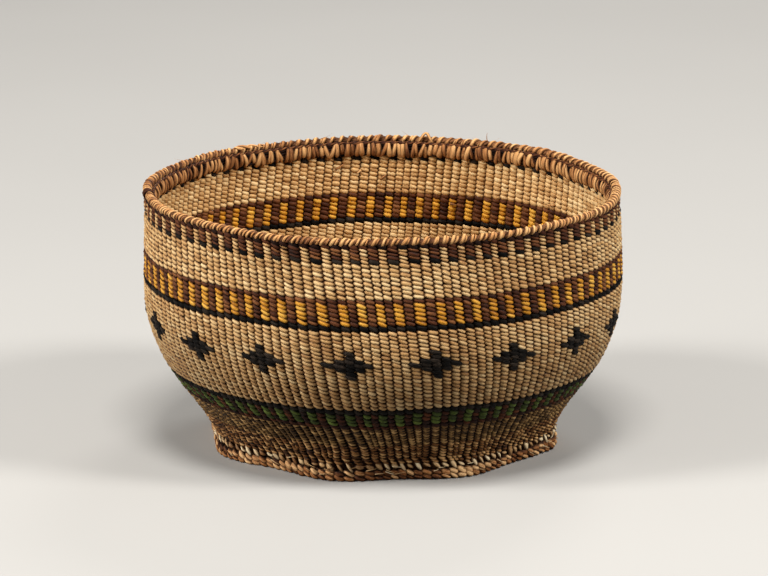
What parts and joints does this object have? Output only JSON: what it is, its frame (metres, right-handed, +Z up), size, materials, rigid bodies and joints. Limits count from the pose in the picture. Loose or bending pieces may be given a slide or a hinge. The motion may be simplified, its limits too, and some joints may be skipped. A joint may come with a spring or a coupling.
{
  "type": "twined basket",
  "caption": "Small round bowl basket of twined grass and bark, with dyed bands, a row of crosses, a corded foot and a bound rim.",
  "frame": {"origin": "on the table under the middle of the bowl, at the bottom of the foot", "axes": "+Z up along the axis of the bowl; -Y is the side that the picture shows"},
  "size_m": [0.1285, 0.1284, 0.0692],
  "materials": {
    "cedar": "matt split bark",
    "grass": "dry grass, slight sheen",
    "brown_dyed": "dyed grass, matt",
    "black_dyed": "dyed grass, matt",
    "amber_dyed": "dyed grass, slight sheen",
    "green_dyed": "dyed grass, slight sheen"
  },
  "bodies": {
    "root": {"foot_cord_lower": "cedar", "foot_cord_upper": "cedar", "stakes": "cedar", "rim_edge_cord": "cedar", "rim_folded_ends": "cedar", "base_strip_long_1": "cedar", "base_strip_long_2": "cedar", "base_strip_long_3": "cedar", "base_strip_long_4": "cedar", "base_strip_long_5": "cedar", "base_strip_long_6": "cedar", "base_strip_cross_1": "cedar", "base_strip_cross_2": "cedar", "base_strip_cross_3": "cedar", "base_strip_cross_4": "cedar", "base_strip_cross_5": "cedar", "base_strip_cross_6": "cedar", "foot_wall_weft": "grass", "field_weft": "grass", "upper_field_weft": "grass", "inner_lower_weft": "grass", "inner_upper_weft": "grass", "base_border_under": "grass", "base_border_inside": "grass", "dark_row_weft": "brown_dyed", "brown_row_weft": "brown_dyed", "check_band_weft": "brown_dyed", "lower_black_weft": "black_dyed", "upper_black_weft": "black_dyed", "cross_01": "black_dyed", "cross_02": "black_dyed", "cross_03": "black_dyed", "cross_04": "black_dyed", "cross_05": "black_dyed", "cross_06": "black_dyed", "cross_07": "black_dyed", "cross_08": "black_dyed", "cross_09": "black_dyed", "cross_10": "black_dyed", "cross_11": "black_dyed", "cross_12": "black_dyed", "cross_13": "black_dyed", "cross_14": "black_dyed", "cross_15": "black_dyed", "cross_16": "black_dyed", "cross_17": "black_dyed", "amber_band_weft": "amber_dyed", "inner_amber_weft": "amber_dyed", "green_band_weft": "green_dyed"}
  },
  "joints": []
}
